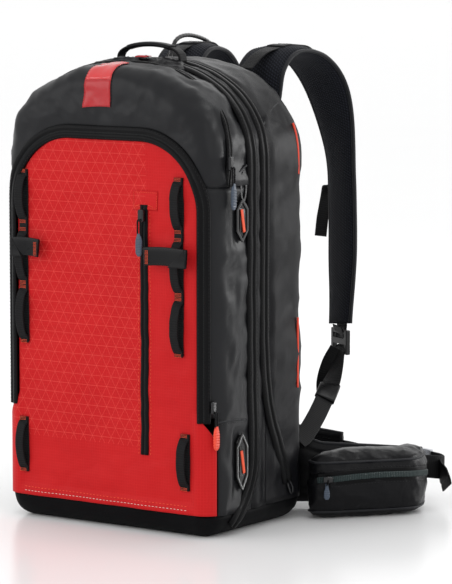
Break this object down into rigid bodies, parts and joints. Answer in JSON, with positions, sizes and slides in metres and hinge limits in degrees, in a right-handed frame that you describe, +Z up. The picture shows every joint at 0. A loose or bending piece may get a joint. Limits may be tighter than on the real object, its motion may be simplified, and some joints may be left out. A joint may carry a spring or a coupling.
{
  "type": "avalanche airbag backpack",
  "caption": "Tall winter backpack with a zipped front door, airbag compartment with gas cartridge and pull trigger, padded shoulder straps and a hip belt with pocket.",
  "frame": {"origin": "on the flat underside of the base, below the middle of the pack's body", "axes": "+Z up, -Y out of the outer front face, +Y towards the wearer, +X the wearer's right"},
  "size_m": [0.4022, 0.4151, 0.5597],
  "materials": {
    "red_ripstop": "ripstop polyester",
    "coated_grey": "coated polyester, satin",
    "black_nylon": "woven nylon",
    "webbing": "woven webbing",
    "mesh_foam": "spacer mesh over foam",
    "hip_fabric": "woven nylon over foam",
    "airbag_cloth": "coated nylon",
    "black_rubber": "rubberised webbing",
    "black_plastic": "satin",
    "puller_slate": "satin",
    "puller_orange": "satin",
    "trigger_orange": "satin",
    "frame_plastic": "sheet",
    "buckle_metal": "anodised",
    "stay_metal": "mill finish",
    "cartridge_steel": "brushed"
  },
  "bodies": {
    "pack": {"lower_front_panel": "red_ripstop", "front_zip_tape": "webbing", "hood_panel": "coated_grey", "side_panel_right": "coated_grey", "side_panel_left": "coated_grey", "compression_gusset": "coated_grey", "airbag_compartment_shell": "black_nylon", "base_boot": "black_nylon", "divider_panel": "frame_plastic", "hood_zip_tape": "webbing", "gusset_zip_tape": "webbing", "airbag_zip_tape": "webbing", "daisy_strip_lower_right": "webbing", "daisy_strip_lower_left": "webbing", "tool_port_upper": "black_plastic", "tool_port_lower": "black_plastic", "side_ring": "black_plastic", "frame_sheet": "frame_plastic", "frame_stay_right": "stay_metal", "frame_stay_left": "stay_metal", "airbag_folded": "airbag_cloth", "inflation_valve_body": "buckle_metal", "trigger_cable_inner": "black_plastic", "back_panel_pad": "mesh_foam", "lumbar_pad": "mesh_foam", "lower_strap_web_right": "webbing", "lower_strap_web_left": "webbing"},
    "front_door": {"front_door": "red_ripstop", "pocket_zip_tape": "webbing", "daisy_strip_right": "webbing", "daisy_strip_left": "webbing"},
    "keeper_tab_right": {"keeper_tab_right": "black_rubber"},
    "keeper_tab_left": {"keeper_tab_left": "black_rubber"},
    "pocket_zip_slider": {"pocket_zip_slider": "black_plastic"},
    "pocket_zip_puller": {"pocket_zip_puller": "puller_slate"},
    "front_zip_slider": {"front_zip_slider": "black_plastic"},
    "front_zip_puller": {"front_zip_puller": "puller_orange"},
    "hood_zip_slider": {"hood_zip_slider": "black_plastic"},
    "hood_zip_puller": {"hood_zip_puller": "puller_slate"},
    "grab_handle": {"grab_handle": "webbing"},
    "gas_cartridge": {"gas_cartridge": "cartridge_steel"},
    "valve_piston": {"valve_piston": "buckle_metal"},
    "shoulder_strap_right": {"shoulder_strap_right": "mesh_foam"},
    "shoulder_strap_left": {"shoulder_strap_left": "mesh_foam", "trigger_cable_outer": "black_plastic"},
    "ladder_lock_right": {"ladder_lock_right": "black_plastic"},
    "ladder_lock_left": {"ladder_lock_left": "black_plastic"},
    "sternum_strap_right": {"sternum_slider_right": "black_plastic", "sternum_web_right": "webbing"},
    "sternum_strap_left": {"sternum_slider_left": "black_plastic", "sternum_web_left": "webbing"},
    "trigger": {"trigger_handle": "trigger_orange"},
    "hip_belt_right": {"hip_belt_wing_right": "hip_fabric", "hip_pocket": "hip_fabric", "hip_web_right": "webbing", "hip_buckle_slot_right": "buckle_metal"},
    "hip_zip_slider": {"hip_zip_slider": "puller_slate"},
    "hip_belt_left": {"hip_belt_wing_left": "hip_fabric", "hip_web_left": "webbing", "hip_buckle_hook_left": "buckle_metal"}
  },
  "joints": [
    {"name": "front_door_hinge", "type": "hinge", "parent": "pack", "child": "front_door", "pos_m": [0, -0.115, 0.1408], "axis": [1, 0, 0], "range_deg": [0, 95]},
    {"name": "keeper_tab_right_peel", "type": "hinge", "parent": "front_door", "child": "keeper_tab_right", "pos_m": [0.063, -0.126, 0.319], "axis": [0, 0, -1], "range_deg": [0, 100]},
    {"name": "keeper_tab_left_peel", "type": "hinge", "parent": "front_door", "child": "keeper_tab_left", "pos_m": [-0.088, -0.126, 0.319], "axis": [0, 0, 1], "range_deg": [0, 100]},
    {"name": "pocket_zip_travel", "type": "slide", "parent": "front_door", "child": "pocket_zip_slider", "axis": [0, 0, -1], "range_m": [0, 0.165]},
    {"name": "pocket_puller_swing", "type": "hinge", "parent": "pocket_zip_slider", "child": "pocket_zip_puller", "pos_m": [0.055, -0.1264, 0.36], "axis": [-1, 0, 0], "range_deg": [0, 120]},
    {"name": "front_zip_travel", "type": "slide", "parent": "pack", "child": "front_zip_slider", "axis": [0, 0, 1], "range_m": [0, 0.19]},
    {"name": "front_puller_swing", "type": "hinge", "parent": "front_zip_slider", "child": "front_zip_puller", "pos_m": [0.1504, -0.108, 0.147], "axis": [0, -1, 0], "range_deg": [0, 120]},
    {"name": "hood_zip_travel", "type": "slide", "parent": "pack", "child": "hood_zip_slider", "axis": [0, 0.1564, 0.9877], "range_m": [0, 0.024]},
    {"name": "hood_puller_swing", "type": "hinge", "parent": "hood_zip_slider", "child": "hood_zip_puller", "pos_m": [0.1576, -0.0846, 0.421], "axis": [0, -1, 0], "range_deg": [0, 120]},
    {"name": "grab_handle_lean", "type": "hinge", "parent": "pack", "child": "grab_handle", "pos_m": [0, -0.0245, 0.539], "axis": [1, 0, 0], "range_deg": [-40, 40]},
    {"name": "cartridge_unscrew", "type": "hinge", "parent": "pack", "child": "gas_cartridge", "pos_m": [-0.085, 0.033, 0.06], "axis": [0, 0, 1], "continuous": true},
    {"name": "valve_piston_pull", "type": "slide", "parent": "pack", "child": "valve_piston", "axis": [0, 0, 1], "range_m": [0, 0.009]},
    {"name": "shoulder_strap_right_swing", "type": "hinge", "parent": "pack", "child": "shoulder_strap_right", "pos_m": [0.06, 0.103, 0.49], "axis": [1, 0, 0], "range_deg": [0, 8]},
    {"name": "shoulder_strap_left_swing", "type": "hinge", "parent": "pack", "child": "shoulder_strap_left", "pos_m": [-0.06, 0.103, 0.49], "axis": [1, 0, 0], "range_deg": [0, 8]},
    {"name": "ladder_lock_right_tilt", "type": "hinge", "parent": "shoulder_strap_right", "child": "ladder_lock_right", "pos_m": [0.0995, 0.226, 0.2], "axis": [0.8746, -0.4848, 0], "range_deg": [0, 35]},
    {"name": "ladder_lock_left_tilt", "type": "hinge", "parent": "shoulder_strap_left", "child": "ladder_lock_left", "pos_m": [-0.0995, 0.226, 0.2], "axis": [0.8746, 0.4848, 0], "range_deg": [0, 35]},
    {"name": "sternum_right_height", "type": "slide", "parent": "shoulder_strap_right", "child": "sternum_strap_right", "axis": [0.0749, -0.025, -0.9969], "range_m": [-0.02, 0.02]},
    {"name": "sternum_left_height", "type": "slide", "parent": "shoulder_strap_left", "child": "sternum_strap_left", "axis": [-0.0749, -0.025, -0.9969], "range_m": [-0.02, 0.02]},
    {"name": "trigger_pull", "type": "slide", "parent": "shoulder_strap_left", "child": "trigger", "axis": [-0.064, -0.1, -0.9929], "range_m": [0, 0.045]},
    {"name": "hip_belt_right_fold", "type": "hinge", "parent": "pack", "child": "hip_belt_right", "pos_m": [0.07, 0.108, 0.06], "axis": [0, 0, 1], "range_deg": [0, 12]},
    {"name": "hip_zip_travel", "type": "slide", "parent": "hip_belt_right", "child": "hip_zip_slider", "axis": [0.6931, 0.7208, 0], "range_m": [0, 0.08]},
    {"name": "hip_belt_left_fold", "type": "hinge", "parent": "pack", "child": "hip_belt_left", "pos_m": [-0.096, 0.11, 0.06], "axis": [0, 0, 1], "range_deg": [0, 32]}
  ],
  "couplings": [
    {"joint": "valve_piston_pull", "follows": "trigger_pull", "ratio": 0.2}
  ]
}
